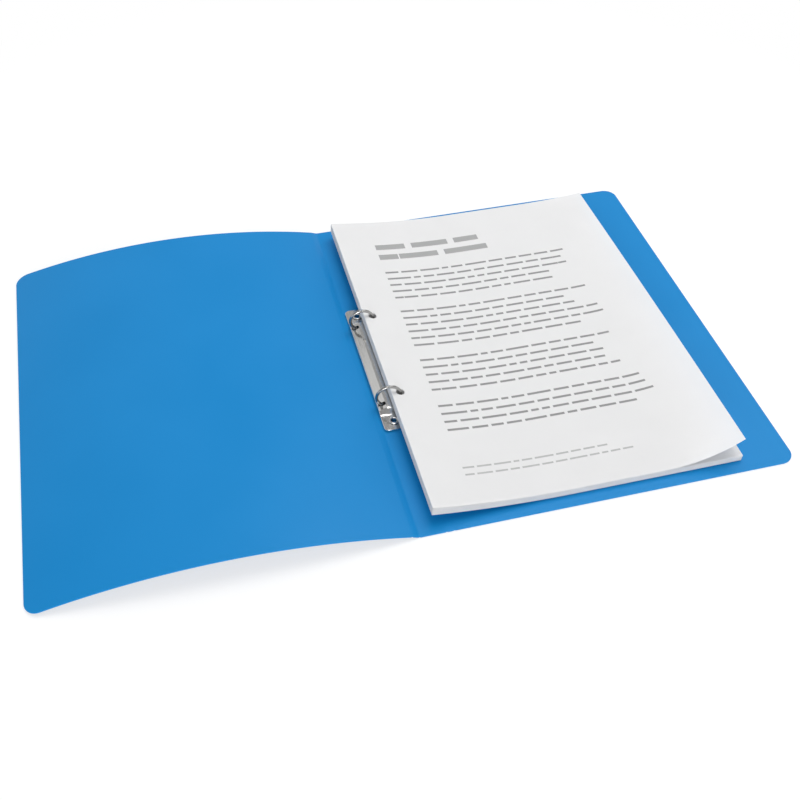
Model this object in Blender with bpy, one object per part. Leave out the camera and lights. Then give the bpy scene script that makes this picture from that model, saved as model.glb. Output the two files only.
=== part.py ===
"""Two-ring binder lying open, with a stack of punched A4 sheets on its rings.

Metres, +Z up. The origin is the middle of the spine, on the surface that the binder lies on.
+X runs across the back cover to its free edge, and +Y runs to the top of the pages.
"""
import math

import bmesh
import bpy
from mathutils import Vector

# Cover: one creased polypropylene sheet
SHEET = 0.001
COVER_HEIGHT = 0.316
COVER_WIDTH = 0.232
COVER_CORNER = 0.0095
SPINE_WIDTH = 0.0172
CREASE_STRIP = 0.0048
CREASE_GAP = 0.0004
FRONT_BOW_RADIUS = 0.460
FRONT_STRIP_RISE = math.radians(21.0)

# Rings: round wire, turned down at the foot and staked into the blades
MECHANISM_Y = -0.0062
RING_SPACING = 0.080
RING_WIRE = 0.0022
RING_BORE = 0.0144
RING_FOOT_ANGLE = math.radians(-55.0)
RING_FOOT_BEND = 0.0022
RING_FOOT_STRAIGHT = 0.0002
RING_TENON = 0.0018
RING_TIP_CHAMFER = 0.0003

# Toggle blades
BLADE_STEEL = 0.0008
BLADE_TAIL = 0.0004
BLADE_DISH = math.radians(4.5)
BLADE_END_MARGIN = 0.0017

# Ring plate: ridged sheet steel with in-turned long edges and a flat land round each rivet
PLATE_WIDTH = 0.0160
PLATE_FLAT = 0.0048
PLATE_STEEL = 0.0006
PLATE_RISE = 0.0047
PLATE_RAMP = 0.005
PLATE_LAND_RISE = 0.0015
PLATE_LAND_MARGIN = 0.0019
PLATE_END_MARGIN = 0.0042
PLATE_END_CORNER = 0.003
LIP_WIDTH = 0.0013
LIP_STEP = 0.00005

# Eyelets and the caps that close them
EYELET_BORE = 0.0038
EYELET_WALL = 0.0005
EYELET_FLANGE = 0.0012
EYELET_FLANGE_HEIGHT = 0.0005
CAP_MARGIN = 0.0018
CAP_THICKNESS = 0.0004
CAP_PLUG_HEIGHT = 0.0009

# Paper
PAPER_WIDTH = 0.210
PAPER_LENGTH = 0.297
PAPER_Y = -0.0003
PUNCH_EDGE = 0.0070
SHEAVES = 5
STACK_LIFT = 0.0014
STACK_RING_SIDE = 0.0077
STACK_FREE_SIDE = 0.0044
STACK_SETTLE = 0.095
TOP_SHEET = 0.0003
CURL_REACH = 0.053
CURL_BOTTOM = 0.0161
CURL_TOP = 0.0027

# Clearances
SEAT = 0.0003
NOTCH_PLAY = 0.0005
NOTCH_EDGE = 0.0001
BLADE_PLAY = 0.0002
BLADE_END_PLAY = 0.0014
CAP_PLUG_PLAY = 0.0004
PUNCH_PLAY = 0.00185
PUNCH_LEAN = 0.00015

# How far a cutting tool runs past what it cuts
THROUGH = 0.002

# Facets of round shapes
WIRE_SIDES = 10
ARC_STEP = math.radians(9.0)
BEND_STEPS = 5
ROUND_SIDES = 28
BOW_STEPS = 24
CORNER_STEPS = 6
RAMP_STEPS = 4
SETTLE_STEPS = 10
CURL_STEPS = 8
CURL_ROWS = 10

# Heights of the plate and blades
HALF_HEIGHT = COVER_HEIGHT / 2
HALF_SPINE = SPINE_WIDTH / 2
PLATE_FOOT = SHEET + SEAT
LIP_TOP = PLATE_FOOT + PLATE_STEEL
PIVOT_Z = LIP_TOP + SEAT + BLADE_STEEL / 2
PLATE_SHOULDER = LIP_TOP + SEAT + BLADE_STEEL + BLADE_PLAY + PLATE_STEEL
PLATE_TOP = PLATE_FOOT + PLATE_RISE
LAND_TOP = PLATE_FOOT + PLATE_LAND_RISE

# Ring and blade: the ring's foot stands on the blade
PIVOT_X = PLATE_WIDTH / 2 - PLATE_STEEL - SEAT - BLADE_TAIL
BLADE_REACH = (PIVOT_X - SEAT / 2) / math.cos(BLADE_DISH)
WIRE_RADIUS = RING_WIRE / 2
RING_RADIUS = (RING_BORE + RING_WIRE) / 2
FOOT_ARM = RING_RADIUS + RING_FOOT_BEND
FOOT_X = FOOT_ARM * math.cos(RING_FOOT_ANGLE) - RING_FOOT_BEND
BLADE_Z = PIVOT_Z - (PIVOT_X - FOOT_X) * math.tan(BLADE_DISH)
BLADE_HALF_STEEL = BLADE_STEEL / 2 / math.cos(BLADE_DISH) + WIRE_RADIUS * math.tan(BLADE_DISH)
FOOT_SHOULDER = BLADE_Z + BLADE_HALF_STEEL + SEAT
RING_CENTRE = FOOT_SHOULDER + RING_FOOT_STRAIGHT - FOOT_ARM * math.sin(RING_FOOT_ANGLE)

# Places along the mechanism, from its middle outwards
EYELET_RADIUS = EYELET_BORE / 2 + EYELET_WALL
EYELET_RIM = EYELET_RADIUS + EYELET_FLANGE
BLADE_HALF = RING_SPACING / 2 + WIRE_RADIUS + BLADE_END_MARGIN
RAMP_START = BLADE_HALF + BLADE_END_PLAY
RIVET_HALF = RAMP_START + PLATE_RAMP + PLATE_LAND_MARGIN + EYELET_RIM
PLATE_HALF = RIVET_HALF + EYELET_RIM + PLATE_END_MARGIN
END_CORNER = min(PLATE_END_CORNER, PLATE_WIDTH / 2 - 2 * PLATE_STEEL)
RING_YS = {"upper": MECHANISM_Y + RING_SPACING / 2, "lower": MECHANISM_Y - RING_SPACING / 2}
RIVET_YS = {"upper": MECHANISM_Y + RIVET_HALF, "lower": MECHANISM_Y - RIVET_HALF}

# Stack of sheets: raised on the rings over the plate, then settling on to the back cover
STACK_FOOT_LEFT = PLATE_TOP + STACK_LIFT
STACK_FOOT_RIGHT = SHEET + SEAT
PUNCH_RADIUS = WIRE_RADIUS + PUNCH_PLAY


def material(name, colour, roughness, metallic):
    """A plain Principled material."""
    made = bpy.data.materials.new(name)
    made.use_nodes = True
    shader = made.node_tree.nodes["Principled BSDF"]
    shader.inputs["Base Color"].default_value = (*colour, 1.0)
    shader.inputs["Roughness"].default_value = roughness
    shader.inputs["Metallic"].default_value = metallic
    made.diffuse_color = (*colour, 1.0)
    return made


def joint_empty(name, location, parent=None, turn=0.0):
    """An empty on a joint axis, turned about the axis to its rest angle."""
    empty = bpy.data.objects.new(name, None)
    empty.empty_display_size = COVER_CORNER
    empty.location = location
    empty.rotation_euler = (0.0, turn, 0.0)
    empty.parent = parent
    bpy.context.collection.objects.link(empty)
    return empty


def add_object(name, bm, paint=None, smooth=None, carrier=None, at=(0.0, 0.0, 0.0)):
    """A mesh object from a bmesh, hung on a carrier empty at a place in the carrier's frame."""
    bmesh.ops.recalc_face_normals(bm, faces=bm.faces)
    mesh = bpy.data.meshes.new(name)
    bm.to_mesh(mesh)
    bm.free()
    if smooth is not None:
        mesh.shade_smooth()
        mesh.set_sharp_from_angle(angle=smooth)
    obj = bpy.data.objects.new(name, mesh)
    obj.parent = carrier
    obj.location = at
    bpy.context.collection.objects.link(obj)
    if paint is not None:
        mesh.materials.append(paint)
    return obj


def lofted(rings, closed=False):
    """A solid skinned over rings of points: capped at both ends, or closed into a loop."""
    bm = bmesh.new()
    rows = [[bm.verts.new(point) for point in ring] for ring in rings]
    pairs = list(zip(rows, rows[1:]))
    if closed:
        pairs.append((rows[-1], rows[0]))
    for low, high in pairs:
        for i in range(len(low)):
            j = (i + 1) % len(low)
            bm.faces.new((low[i], low[j], high[j], high[i]))
    if not closed:
        bm.faces.new(rows[0][::-1])
        bm.faces.new(rows[-1])
    return bm


def circle(radius, z, centre=(0.0, 0.0)):
    """A ring of points level at z."""
    turns = [2 * math.pi * i / ROUND_SIDES for i in range(ROUND_SIDES)]
    x, y = centre
    return [Vector((x + radius * math.cos(a), y + radius * math.sin(a), z)) for a in turns]


def box(low, high):
    """A box between two corners."""
    ring = [(low[0], low[1]), (high[0], low[1]), (high[0], high[1]), (low[0], high[1])]
    return lofted([[Vector((x, y, z)) for x, y in ring] for z in (low[2], high[2])])


def merge(parts):
    """Several bmeshes as one, for a tool body made of separate shapes."""
    whole = bmesh.new()
    for part in parts:
        scratch = bpy.data.meshes.new("scratch")
        part.to_mesh(scratch)
        part.free()
        whole.from_mesh(scratch)
        bpy.data.meshes.remove(scratch)
    return whole


def apply_tool(target, name, bm, operation="DIFFERENCE"):
    """Cut a hidden tool body out of a piece, or join one to it."""
    tool = add_object(name, bm, carrier=target.parent, at=target.location)
    tool.hide_render = True
    tool.display_type = "WIRE"
    step = target.modifiers.new(name, "BOOLEAN")
    step.operation = operation
    step.solver = "EXACT"
    step.object = tool


def quarter_turn(steps):
    """Angles of a quarter turn, from 0 to a right angle."""
    return [math.pi / 2 * i / steps for i in range(steps + 1)]


def panel(name, surface, steps, paint, carrier):
    """A cover panel from its crease to its rounded free edge, on a surface of (point, normal)."""
    start = CREASE_GAP / 2
    flat = COVER_WIDTH - COVER_CORNER
    stations = [(start + (flat - start) * i / steps, 0.0) for i in range(steps)]
    for turn in quarter_turn(CORNER_STEPS):
        stations.append((flat + COVER_CORNER * math.sin(turn), COVER_CORNER * (1 - math.cos(turn))))
    rings = []
    for along, set_back in stations:
        half = HALF_HEIGHT - set_back
        (x, z), (nx, nz) = surface(along)
        corners = [(x, -half, z), (x, half, z)]
        corners += [(x - nx * SHEET, y, z - nz * SHEET) for y in (half, -half)]
        rings.append([Vector(corner) for corner in corners])
    return add_object(name, lofted(rings), paint, math.radians(20), carrier)


def strip(name, width, paint, carrier):
    """A flat strip of the sheet beyond a crease, its inner face level with the crease axis."""
    low = (CREASE_GAP / 2 - width, -HALF_HEIGHT, -SHEET)
    high = (-CREASE_GAP / 2, HALF_HEIGHT, 0.0)
    return add_object(name, box(low, high), paint, carrier=carrier)


def flat_surface(along):
    """The back cover in its crease's frame."""
    return (along, 0.0), (0.0, 1.0)


def bow_surface(along):
    """The bowed front cover in its crease's frame: the arch's chord lies along -X."""
    half_turn = COVER_WIDTH / (2 * FRONT_BOW_RADIUS)
    slope = half_turn - along / FRONT_BOW_RADIUS
    x = -FRONT_BOW_RADIUS * (math.sin(half_turn) - math.sin(slope))
    z = FRONT_BOW_RADIUS * (math.cos(slope) - math.cos(half_turn))
    return (x, z), (math.sin(slope), math.cos(slope))


def chord_dip():
    """How far the arch's chord dips so that the free edge's outer corner lies on the ground."""
    half_turn = COVER_WIDTH / (2 * FRONT_BOW_RADIUS)
    chord = 2 * FRONT_BOW_RADIUS * math.sin(half_turn)
    crease_height = SHEET + CREASE_STRIP * math.sin(FRONT_STRIP_RISE)
    run = chord - SHEET * math.sin(half_turn)
    drop = SHEET * math.cos(half_turn)
    return math.asin(crease_height / math.hypot(run, drop)) - math.atan2(drop, run)


def make_cover(blue):
    """The creased sheet, from the back cover to the front cover. Returns the spine's empty."""
    back = joint_empty("back_cover_frame", (HALF_SPINE + CREASE_STRIP, 0.0, SHEET))
    panel("back_cover", flat_surface, 1, blue, back)
    back_crease = joint_empty("back_crease_axis", (0.0, 0.0, 0.0), back)
    strip("back_crease_strip", CREASE_STRIP, blue, back_crease)
    spine_axis = joint_empty("spine_axis", (-CREASE_STRIP, 0.0, 0.0), back_crease)
    punch_spine(strip("spine_panel", SPINE_WIDTH, blue, spine_axis))
    front_crease = joint_empty("front_crease_axis", (-SPINE_WIDTH, 0.0, 0.0), spine_axis, FRONT_STRIP_RISE)
    strip("front_crease_strip", CREASE_STRIP, blue, front_crease)
    lean = -chord_dip() - FRONT_STRIP_RISE
    front = joint_empty("front_cover_axis", (-CREASE_STRIP, 0.0, 0.0), front_crease, lean)
    panel("front_cover", bow_surface, BOW_STEPS, blue, front)
    return spine_axis


def punch_spine(spine):
    """Rivet holes through the spine, each with a shallow recess outside for its cap."""
    hole = EYELET_RADIUS + SEAT
    recess = EYELET_RADIUS + CAP_MARGIN + SEAT
    recess_top = CAP_THICKNESS + SEAT - SHEET
    profile = [(recess, -SHEET - THROUGH), (recess, recess_top), (hole, recess_top), (hole, THROUGH)]
    tools = []
    for y in RIVET_YS.values():
        tools.append(lofted([circle(radius, z, (-HALF_SPINE, y)) for radius, z in profile]))
    apply_tool(spine, "spine_punch", merge(tools))


def plate_half_width(y, inset):
    """Half width of the plate at y, drawn in all round by inset, with rounded ends."""
    radius = END_CORNER - inset
    past = abs(y) - (PLATE_HALF - END_CORNER)
    half = PLATE_WIDTH / 2 - inset
    if past <= 0:
        return half
    return half - radius + math.sqrt(max(radius ** 2 - past ** 2, 0.0))


def plate_stations(inset):
    """Places along the plate where its section changes."""
    half = [RAMP_START + PLATE_RAMP * i / RAMP_STEPS for i in range(RAMP_STEPS + 1)]
    radius = END_CORNER - inset
    half += [PLATE_HALF - END_CORNER + radius * math.sin(a) for a in quarter_turn(CORNER_STEPS)]
    return [-y for y in reversed(half)] + half


def plate_section(y, inset, foot):
    """The section of the plate at y: sloping sides and a flat ridge, which falls to a land at each end."""
    fall = min(max((abs(y) - RAMP_START) / PLATE_RAMP, 0.0), 1.0)
    fall = fall * fall * (3 - 2 * fall)
    shoulder = PLATE_SHOULDER + (LAND_TOP - PLATE_SHOULDER) * fall - inset
    ridge = PLATE_TOP + (LAND_TOP - PLATE_TOP) * fall - inset
    half = plate_half_width(y, inset)
    flat = min(PLATE_FLAT, half) / 2
    right = [(flat, ridge), (half, shoulder), (half, foot)]
    points = [(-x, z) for x, z in reversed(right)] + right
    return [Vector((x, MECHANISM_Y + y, z)) for x, z in points]


def make_plate(nickel, spine_axis):
    """The ridged plate: a hollow cap with lips, ring notches and rivet holes."""
    solid = lofted([plate_section(y, 0.0, PLATE_FOOT) for y in plate_stations(0.0)])
    at = (-HALF_SPINE, 0.0, -SHEET)
    plate = add_object("ring_plate", solid, nickel, math.radians(25), spine_axis, at)
    under = PLATE_FOOT - THROUGH
    hollow = lofted([plate_section(y, PLATE_STEEL, under) for y in plate_stations(PLATE_STEEL)])
    apply_tool(plate, "plate_hollow", hollow)
    apply_tool(plate, "plate_lips", plate_lips(), "UNION")
    apply_tool(plate, "plate_holes", plate_holes())


def plate_lips():
    """The in-turned long edges under the blades, each rooted halfway into the plate's wall."""
    wall = PLATE_WIDTH / 2 - PLATE_STEEL
    lips = []
    for side in (-1, 1):
        edges = sorted((side * (wall - LIP_WIDTH), side * (wall + PLATE_STEEL / 2)))
        low = (edges[0], MECHANISM_Y - BLADE_HALF, PLATE_FOOT + LIP_STEP)
        high = (edges[1], MECHANISM_Y + BLADE_HALF, LIP_TOP)
        lips.append(box(low, high))
    return merge(lips)


def plate_holes():
    """Notches for the rings' feet, and round holes for the eyelets."""
    near = FOOT_X - WIRE_RADIUS - NOTCH_PLAY
    far = PLATE_WIDTH / 2 - PLATE_STEEL - NOTCH_EDGE
    wide = WIRE_RADIUS + NOTCH_PLAY
    tools = []
    for y in RING_YS.values():
        for low, high in ((near, far), (-far, -near)):
            tools.append(box((low, y - wide, LIP_TOP + SEAT), (high, y + wide, PLATE_TOP + THROUGH)))
    for y in RIVET_YS.values():
        levels = (PLATE_FOOT, LAND_TOP + THROUGH)
        tools.append(lofted([circle(EYELET_RADIUS + SEAT, z, (0.0, y)) for z in levels]))
    return merge(tools)


def ring_path():
    """Centre line of the right ring half, tip to tenon end, as (point, radius) in the ring's plane."""
    first = math.pi / 2 - math.asin(SEAT / 2 / RING_RADIUS)
    second = first - RING_TIP_CHAMFER / RING_RADIUS
    steps = math.ceil((second - RING_FOOT_ANGLE) / ARC_STEP)
    arc = [(first, WIRE_RADIUS - RING_TIP_CHAMFER)]
    arc += [(second + (RING_FOOT_ANGLE - second) * i / steps, WIRE_RADIUS) for i in range(steps + 1)]
    path = []
    for angle, radius in arc:
        spot = (RING_RADIUS * math.cos(angle), 0.0, RING_CENTRE + RING_RADIUS * math.sin(angle))
        path.append((Vector(spot), radius))
    bend_z = RING_CENTRE + FOOT_ARM * math.sin(RING_FOOT_ANGLE)
    for i in range(1, BEND_STEPS + 1):
        angle = RING_FOOT_ANGLE * (1 - i / BEND_STEPS)
        x = FOOT_X + RING_FOOT_BEND * (1 - math.cos(angle))
        path.append((Vector((x, 0.0, bend_z - RING_FOOT_BEND * math.sin(angle))), WIRE_RADIUS))
    shoulder = Vector((FOOT_X, 0.0, FOOT_SHOULDER))
    path.append((shoulder, WIRE_RADIUS))
    path.append((shoulder, RING_TENON / 2))
    path.append((Vector((FOOT_X, 0.0, BLADE_Z - BLADE_HALF_STEEL)), RING_TENON / 2))
    return path


def ring_half(side, y):
    """A ring half swept along its centre line, on the right (+1) or the left (-1)."""
    path = ring_path()
    rings = []
    for i, (point, radius) in enumerate(path):
        before = path[max(i - 1, 0)][0]
        after = path[min(i + 1, len(path) - 1)][0]
        along = (after - before).normalized()
        across = Vector((-along.z, 0.0, along.x))
        ring = []
        for k in range(WIRE_SIDES):
            turn = 2 * math.pi * (k + 0.5) / WIRE_SIDES
            spot = point + radius * math.cos(turn) * across
            ring.append(Vector((side * spot.x, y + radius * math.sin(turn), spot.z)))
        rings.append(ring)
    return lofted(rings)


def blade(side):
    """A toggle blade, dished so that its inner edge lies lower than its pivot edge."""
    inward = Vector((-math.cos(BLADE_DISH), 0.0, -math.sin(BLADE_DISH)))
    up = Vector((-math.sin(BLADE_DISH), 0.0, math.cos(BLADE_DISH))) * BLADE_STEEL / 2
    pivot = Vector((PIVOT_X, 0.0, PIVOT_Z))
    tail = pivot - inward * BLADE_TAIL
    edge = pivot + inward * BLADE_REACH
    corners = (tail - up, edge - up, edge + up, tail + up)
    ends = (MECHANISM_Y - BLADE_HALF, MECHANISM_Y + BLADE_HALF)
    return lofted([[Vector((side * c.x, y, c.z)) for c in corners] for y in ends])


def blade_holes(side):
    """Holes in a blade for the tenons of its two ring halves."""
    levels = (PLATE_FOOT - THROUGH, PLATE_TOP)
    holes = []
    for y in RING_YS.values():
        holes.append(lofted([circle(RING_TENON / 2 + SEAT, z, (side * FOOT_X, y)) for z in levels]))
    return merge(holes)


def make_jaws(nickel, spine_axis):
    """Each jaw: a blade and the two ring halves staked into it, turning on the plate's edge."""
    for side, name in ((-1, "left"), (1, "right")):
        pivot = Vector((side * PIVOT_X, MECHANISM_Y, PIVOT_Z))
        axis = joint_empty(name + "_jaw_axis", pivot - Vector((HALF_SPINE, 0.0, SHEET)), spine_axis)
        leaf = add_object(name + "_blade", blade(side), nickel, carrier=axis, at=-pivot)
        apply_tool(leaf, name + "_blade_holes", blade_holes(side))
        for place, y in RING_YS.items():
            wire = ring_half(side, y)
            add_object(place + "_" + name + "_ring", wire, nickel, math.radians(40), axis, -pivot)


def make_rivets(nickel, blue, spine_axis):
    """Eyelets from the plate's lands down through the spine, and the caps that close them below."""
    bore = EYELET_BORE / 2
    foot = CAP_THICKNESS + SEAT
    flange_low = LAND_TOP + SEAT
    flange_edge = flange_low + EYELET_FLANGE_HEIGHT / 2
    flange_top = flange_low + EYELET_FLANGE_HEIGHT
    eyelet = [(bore, foot), (EYELET_RADIUS, foot), (EYELET_RADIUS, flange_low), (EYELET_RIM, flange_low),
              (EYELET_RIM, flange_edge), ((bore + EYELET_RIM) / 2, flange_top), (bore, flange_edge)]
    disc = EYELET_RADIUS + CAP_MARGIN
    plug = bore - CAP_PLUG_PLAY
    plug_top = CAP_THICKNESS + CAP_PLUG_HEIGHT
    cap = [(disc, 0.0), (disc, CAP_THICKNESS), (plug, CAP_THICKNESS), (plug, plug_top)]
    for place, y in RIVET_YS.items():
        at = (-HALF_SPINE, y, -SHEET)
        tube = lofted([circle(radius, z) for radius, z in eyelet], closed=True)
        add_object(place + "_eyelet", tube, nickel, math.radians(50), spine_axis, at)
        button = lofted([circle(radius, z) for radius, z in cap])
        add_object(place + "_rivet_cap", button, blue, math.radians(40), spine_axis, at)


def wire_x(z, radius):
    """Where the right side of a circle round the ring's centre passes height z."""
    return math.sqrt(radius ** 2 - (z - RING_CENTRE) ** 2)


def face_height(face, along):
    """Height of a face of the stack, given at its two sides, at a distance from its ring side."""
    ring_side, free_side = face
    return free_side + (ring_side - free_side) * max(1 - along / STACK_SETTLE, 0.0) ** 2


def sheaf_faces(index):
    """Lower and upper face of a sheaf, each as its height at the ring side and at the free side."""
    gaps = SEAT * (SHEAVES - 1)
    ring_side = (STACK_RING_SIDE - gaps) / SHEAVES
    free_side = (STACK_FREE_SIDE - gaps) / SHEAVES
    left = STACK_FOOT_LEFT + index * (ring_side + SEAT)
    right = STACK_FOOT_RIGHT + index * (free_side + SEAT)
    return (left, right), (left + ring_side, right + free_side)


def punch_x(z):
    """Middle of a punched hole at height z: the stack leans along the curve of the wire."""
    foot = face_height(sheaf_faces(0)[0], PUNCH_EDGE)
    top = face_height(sheaf_faces(SHEAVES)[0], PUNCH_EDGE) + TOP_SHEET
    low_x = wire_x(foot, RING_RADIUS - WIRE_RADIUS) + PUNCH_RADIUS - SEAT
    top_x = wire_x(top, RING_RADIUS) + PUNCH_LEAN
    return low_x + (top_x - low_x) * (z - foot) / (top - foot)


def ring_side_x(face):
    """Where a face of the stack has its edge on the ring side."""
    return punch_x(face_height(face, PUNCH_EDGE)) - PUNCH_EDGE


def punch_tool(sheet, face):
    """The two punched holes of a sheet or sheaf, from below its lower face to above its upper one."""
    level = face_height(face, PUNCH_EDGE)
    holes = []
    for y in RING_YS.values():
        ends = (level - THROUGH, level + 2 * THROUGH)
        holes.append(lofted([circle(PUNCH_RADIUS, z, (punch_x(z), y)) for z in ends]))
    apply_tool(sheet, sheet.name + "_punch", merge(holes))


def settle_stations():
    """Places across a sheet, from its ring side to where it lies flat."""
    return [STACK_SETTLE * i / SETTLE_STEPS for i in range(SETTLE_STEPS + 1)]


def make_paper(white, spine_axis):
    """The stack of sheets on the rings: sheaves, and the top sheet with its curled edge."""
    centre = Vector((0.0, MECHANISM_Y, RING_CENTRE))
    axis = joint_empty("sheets_axis", centre - Vector((HALF_SPINE, 0.0, SHEET)), spine_axis)
    ends = (PAPER_Y - PAPER_LENGTH / 2, PAPER_Y + PAPER_LENGTH / 2)
    stations = settle_stations() + [PAPER_WIDTH]
    for index in range(SHEAVES):
        lower, upper = sheaf_faces(index)
        section = [(ring_side_x(lower) + along, face_height(lower, along)) for along in stations]
        section += [(ring_side_x(upper) + along, face_height(upper, along)) for along in stations[::-1]]
        block = lofted([[Vector((x, y, z)) for x, z in section] for y in ends])
        name = "sheaf_%d" % (index + 1)
        sheaf = add_object(name, block, white, math.radians(20), axis, -centre)
        punch_tool(sheaf, lower)
    make_top_sheet(white, axis, -centre, ends)


def make_top_sheet(white, axis, at, ends):
    """The uppermost sheet: on the stack, then curling up towards its free edge."""
    face = sheaf_faces(SHEAVES)[0]
    edge = ring_side_x(face)
    flat = PAPER_WIDTH - CURL_REACH
    stations = settle_stations() + [flat + CURL_REACH * i / CURL_STEPS for i in range(CURL_STEPS + 1)]
    thickness = Vector((0.0, 0.0, TOP_SHEET))
    rows = []
    for k in range(CURL_ROWS + 1):
        y = ends[0] + (ends[1] - ends[0]) * k / CURL_ROWS
        lift = CURL_BOTTOM + (CURL_TOP - CURL_BOTTOM) * k / CURL_ROWS
        bend = 2 * lift / CURL_REACH ** 2
        row = []
        for along in stations:
            turn = bend * max(along - flat, 0.0)
            x = edge + min(along, flat) + math.sin(turn) / bend
            row.append(Vector((x, y, face_height(face, along) + (1 - math.cos(turn)) / bend)))
        rows.append(row + [point + thickness for point in reversed(row)])
    sheet = add_object("top_sheet", lofted(rows), white, math.radians(30), axis, at)
    punch_tool(sheet, face)


def main():
    for obj in list(bpy.data.objects):
        bpy.data.objects.remove(obj, do_unlink=True)
    blue = material("blue_polypropylene", (0.02, 0.235, 0.6), 0.42, 0.0)
    nickel = material("bright_nickel", (0.78, 0.78, 0.77), 0.16, 1.0)
    white = material("white_paper", (0.84, 0.84, 0.85), 0.85, 0.0)
    lacquer = material("blue_lacquer", (0.02, 0.2, 0.52), 0.35, 0.0)
    spine_axis = make_cover(blue)
    make_plate(nickel, spine_axis)
    make_jaws(nickel, spine_axis)
    make_rivets(nickel, lacquer, spine_axis)
    make_paper(white, spine_axis)


main()
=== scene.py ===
"""Look of the open ring binder: finer pieces on the CAD frame, materials, light and camera.

Metres, in the frame of the part: +X to the back cover's free edge, +Y to the top of the pages, +Z up.
"""
import math
import random

import bmesh
import bpy
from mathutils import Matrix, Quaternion, Vector


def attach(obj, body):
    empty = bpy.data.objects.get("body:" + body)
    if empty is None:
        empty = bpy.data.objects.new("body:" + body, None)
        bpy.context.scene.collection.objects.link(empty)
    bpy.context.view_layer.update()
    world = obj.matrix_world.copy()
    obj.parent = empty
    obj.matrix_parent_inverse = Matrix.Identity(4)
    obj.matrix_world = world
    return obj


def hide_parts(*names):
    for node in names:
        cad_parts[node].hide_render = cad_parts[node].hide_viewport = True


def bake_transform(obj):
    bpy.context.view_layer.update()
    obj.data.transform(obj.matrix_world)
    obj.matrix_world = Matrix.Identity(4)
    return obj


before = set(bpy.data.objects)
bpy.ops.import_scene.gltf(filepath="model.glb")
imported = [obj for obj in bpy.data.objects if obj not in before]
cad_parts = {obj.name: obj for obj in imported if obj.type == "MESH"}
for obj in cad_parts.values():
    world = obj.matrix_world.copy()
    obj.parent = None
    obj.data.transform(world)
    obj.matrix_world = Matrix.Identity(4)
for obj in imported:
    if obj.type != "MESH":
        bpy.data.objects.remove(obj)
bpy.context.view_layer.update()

# Cover sheet
SHEET = 0.001
HALF_HEIGHT = 0.158
COVER_WIDTH = 0.232
COVER_CORNER = 0.0095
HALF_SPINE = 0.0086
CREASE_STRIP = 0.0048
CREASE_HALF = 0.001
CREASE_GROOVE = 0.0004
BOW_RADIUS = 0.460
STRIP_RISE = math.radians(21.0)
EDGE = 0.00025
EDGE_STEPS = 4
BACK_STEPS = 24
BOW_STEPS = 72
CORNER_STEPS = 16
CREASE_STEPS = 10

# Places along the mechanism, from its middle outwards
MECHANISM_Y = -0.0062
RING_HALF = 0.040
RIVET_HALF = 0.0547
RING_YS = {"upper": MECHANISM_Y + RING_HALF, "lower": MECHANISM_Y - RING_HALF}
RIVET_YS = {"upper": MECHANISM_Y + RIVET_HALF, "lower": MECHANISM_Y - RIVET_HALF}

# Rings: a wire bent down at the foot, with a tenon below it
RING_RADIUS = 0.0083
RING_CENTRE = 0.0119624
WIRE_RADIUS = 0.0011
WIRE_SIDES = 20
RING_STEPS = 56
FOOT_ANGLE = math.radians(-55.0)
FOOT_BEND = 0.0022
FOOT_ARM = RING_RADIUS + FOOT_BEND
FOOT_X = FOOT_ARM * math.cos(FOOT_ANGLE) - FOOT_BEND
FOOT_STRAIGHT = 0.0002
FOOT_STEPS = 12
TENON_RADIUS = 0.0009
TENON_LENGTH = 0.00127
TIP_GAP = 0.00015
TIP_ROUND = 0.0004
TIP_STEPS = 4

# Plate: half sizes, heights of its edges, ramps and ends, lips and notches
PLATE_HALF = 0.0625
PLATE_HALF_WIDTH = 0.0080
PLATE_FLAT = 0.0048
PLATE_CROWN = 0.00024
PLATE_STEEL = 0.0006
PLATE_FOOT = 0.0013
PLATE_SHOULDER = 0.0038
PLATE_TOP = 0.0060
LAND_TOP = 0.0028
RIDGE_ROUND = 0.0008
SHOULDER_ROUND = 0.0006
RAMP_START = 0.0442
PLATE_RAMP = 0.005
RAMP_STEPS = 10
END_CORNER = 0.003
END_STEPS = 14
LIP_HALF = 0.0428
LIP_WIDTH = 0.0013
LIP_STEP = 0.00005
NOTCH_PLAY = 0.0005
NOTCH_EDGE = 0.0001
NOTCH_CORNER = 0.0009

# Eyelets and the caps that close them, as radii and heights
EYELET_BORE = 0.0019
EYELET_RADIUS = 0.0024
EYELET_RIM = 0.0036
EYELET_FOOT = 0.0007
EYELET_LIP = 0.0001
EYELET_CROWN = 0.0004
CROWN_STEPS = 12
CAP_RADIUS = 0.0042
CAP_THICKNESS = 0.0004
CAP_PLUG = 0.0015
CAP_PLUG_TOP = 0.0013
CAP_EDGE = 0.00015
CAP_BEVEL = 0.000045

# Clearance between pieces, and how far a cutting tool runs past what it cuts
SEAT = 0.0003
THROUGH = 0.002

# Paper: sizes, and the left edge at the bottom and the top of the stack
SHEAF_WIDTH = 0.2085
PAGE_WIDTH = 0.2098
PAPER_HALF = 0.1485
PAPER_Y = -0.0004
PAPER_EDGE = (0.0014, 0.0018)
PAPER_THICKNESS = 0.000095

# Punched holes: x and z of their middle at the bottom and the top of the stack
PUNCH_RADIUS = 0.00295
PUNCH_FROM = (0.0073801, 0.0065342)
PUNCH_TO = (0.0080944, 0.0143658)

# Stack: heights at the ring side and the free side, and how far a sheet strays
STACK_FOOT = (0.0082, 0.0013)
STACK_RISE = (0.0061, 0.0044)
STACK_SETTLE = 0.095
STACK_LOOSE = 0.0010
STACK_FLAT = 0.15
STACK_STEPS = 16
STACK_SEED = 7
SHEAVES = 5
SHEETS_IN_SHEAF = 8
STRAY_X = 0.0001
STRAY_Y = 0.00025
STRAY_SKEW = 0.0005

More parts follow.
